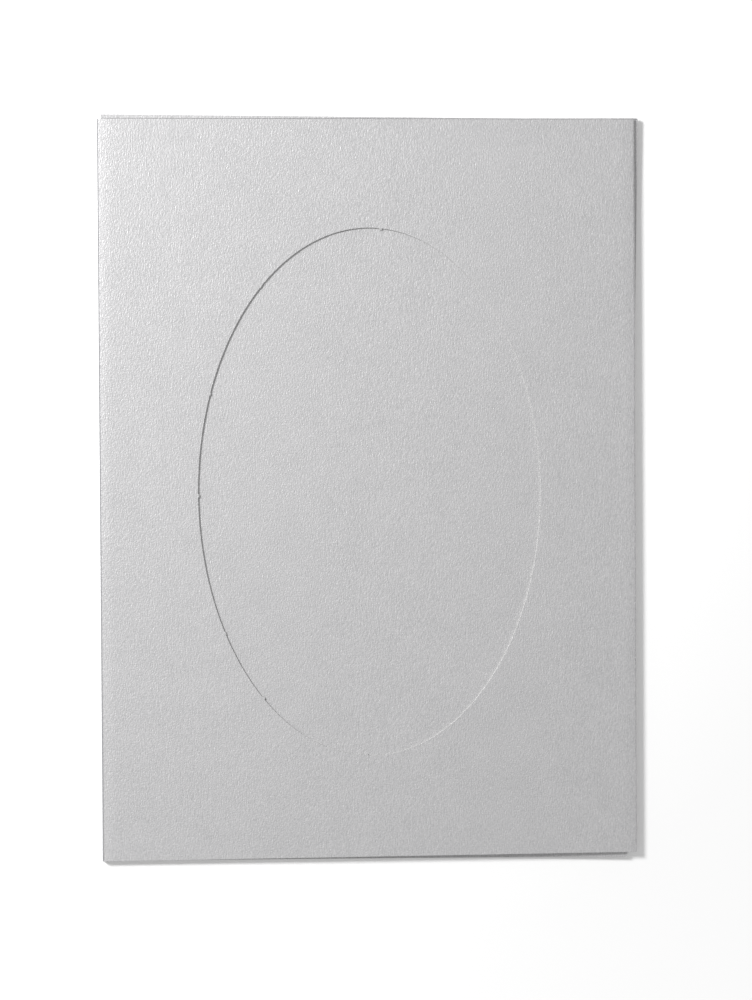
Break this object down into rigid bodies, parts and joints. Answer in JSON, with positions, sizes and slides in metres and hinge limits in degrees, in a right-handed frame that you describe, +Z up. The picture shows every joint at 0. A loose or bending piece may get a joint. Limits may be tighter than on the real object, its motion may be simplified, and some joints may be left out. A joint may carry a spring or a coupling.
{
  "type": "aperture card",
  "caption": "Closed folding card of pearlescent silver stock, with an oval window in its front panel and a flap behind the window.",
  "frame": {"origin": "middle of the card's footprint, on the ground under its back panel", "axes": "+X from the spine to the opening side, +Y to the top edge of the card, +Z up out of the front panel"},
  "size_m": [0.106, 0.146, 0.0019],
  "materials": {
    "pearl_card": "pearlescent silver coating on card, soft satin sheen"
  },
  "bodies": {
    "root": {"folded_card": "pearl_card"}
  },
  "joints": []
}
